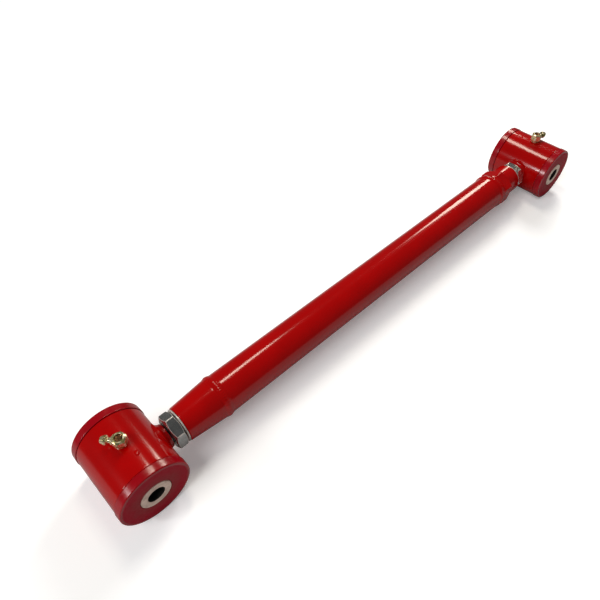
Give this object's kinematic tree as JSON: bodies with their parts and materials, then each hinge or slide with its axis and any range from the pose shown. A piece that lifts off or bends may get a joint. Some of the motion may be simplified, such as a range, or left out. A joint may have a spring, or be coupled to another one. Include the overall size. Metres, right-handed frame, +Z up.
{
  "type": "adjustable tubular control arm",
  "caption": "Straight tubular suspension control arm with a bushed eye on a threaded stud at both ends; turning the eyes on their threads sets its length.",
  "frame": {"origin": "under the middle of the arm, on the plane its bushing flanges lie on", "axes": "+X from the axle end to the frame end, Y along the suspension bolts, +Z up through the grease fittings"},
  "size_m": [0.536, 0.0604, 0.0599],
  "materials": {
    "red_paint": "glossy red powder coat",
    "polyurethane": "semi-gloss cast polyurethane, dark crimson",
    "sleeve_steel": "turned steel, warm grey",
    "zinc_plate": "bright zinc plating",
    "yellow_zinc": "yellow chromated zinc plating",
    "ball_steel": "polished steel ball"
  },
  "bodies": {
    "tube": {"arm_tube": "red_paint", "axle_end_adapter": "red_paint", "axle_end_adapter_weld": "red_paint", "frame_end_adapter": "red_paint", "frame_end_adapter_weld": "red_paint"},
    "axle_end_nut": {"axle_end_jam_nut": "zinc_plate"},
    "axle_end_thrust_washer": {"axle_end_washer": "zinc_plate"},
    "axle_end_eye": {"axle_end_stud": "red_paint", "axle_end_stud_weld": "red_paint", "axle_end_bushing_shell": "red_paint", "axle_end_bushing_half_left": "polyurethane", "axle_end_bushing_half_right": "polyurethane", "axle_end_grease_elbow": "yellow_zinc", "axle_end_grease_nipple": "yellow_zinc"},
    "axle_end_sleeve": {"axle_end_inner_sleeve": "sleeve_steel"},
    "axle_end_ball": {"axle_end_check_ball": "ball_steel"},
    "frame_end_nut": {"frame_end_jam_nut": "zinc_plate"},
    "frame_end_thrust_washer": {"frame_end_washer": "zinc_plate"},
    "frame_end_eye": {"frame_end_stud": "red_paint", "frame_end_stud_weld": "red_paint", "frame_end_bushing_shell": "red_paint", "frame_end_bushing_half_left": "polyurethane", "frame_end_bushing_half_right": "polyurethane", "frame_end_grease_elbow": "yellow_zinc", "frame_end_grease_nipple": "yellow_zinc"},
    "frame_end_sleeve": {"frame_end_inner_sleeve": "sleeve_steel"},
    "frame_end_ball": {"frame_end_check_ball": "ball_steel"}
  },
  "joints": [
    {"name": "axle_end_screw_turn", "type": "hinge", "parent": "tube", "child": "axle_end_thrust_washer", "pos_m": [-0.2033, 0, 0.026], "axis": [-1, 0, 0], "range_deg": [0, 3600]},
    {"name": "axle_end_screw_travel", "type": "slide", "parent": "axle_end_thrust_washer", "child": "axle_end_eye", "axis": [-1, 0, 0], "range_m": [0, 0.01412]},
    {"name": "axle_end_jam_nut_turn", "type": "hinge", "parent": "tube", "child": "axle_end_nut", "pos_m": [-0.2082, 0, 0.026], "axis": [-1, 0, 0], "range_deg": [0, 36]},
    {"name": "axle_end_bushing_turn", "type": "hinge", "parent": "axle_end_eye", "child": "axle_end_sleeve", "pos_m": [-0.242, 0, 0.026], "axis": [0, 1, 0], "continuous": true},
    {"name": "axle_end_check_ball_press", "type": "slide", "parent": "axle_end_eye", "child": "axle_end_ball", "axis": [0.682, -0.7314, 0], "range_m": [0, 0.001], "stiffness_N_per_m": 50},
    {"name": "frame_end_screw_turn", "type": "hinge", "parent": "tube", "child": "frame_end_thrust_washer", "pos_m": [0.2033, 0, 0.026], "axis": [-1, 0, 0], "range_deg": [0, 3600]},
    {"name": "frame_end_screw_travel", "type": "slide", "parent": "frame_end_thrust_washer", "child": "frame_end_eye", "axis": [1, 0, 0], "range_m": [0, 0.01412]},
    {"name": "frame_end_jam_nut_turn", "type": "hinge", "parent": "tube", "child": "frame_end_nut", "pos_m": [0.2082, 0, 0.026], "axis": [-1, 0, 0], "range_deg": [0, 36]},
    {"name": "frame_end_bushing_turn", "type": "hinge", "parent": "frame_end_eye", "child": "frame_end_sleeve", "pos_m": [0.242, 0, 0.026], "axis": [0, 1, 0], "continuous": true},
    {"name": "frame_end_check_ball_press", "type": "slide", "parent": "frame_end_eye", "child": "frame_end_ball", "axis": [-0.9848, 0.1736, 0], "range_m": [0, 0.001], "stiffness_N_per_m": 50}
  ],
  "couplings": [
    {"joint": "axle_end_screw_travel", "follows": "axle_end_screw_turn", "m_per_rad": 0.00022458},
    {"joint": "frame_end_screw_travel", "follows": "frame_end_screw_turn", "m_per_rad": 0.00022458}
  ]
}
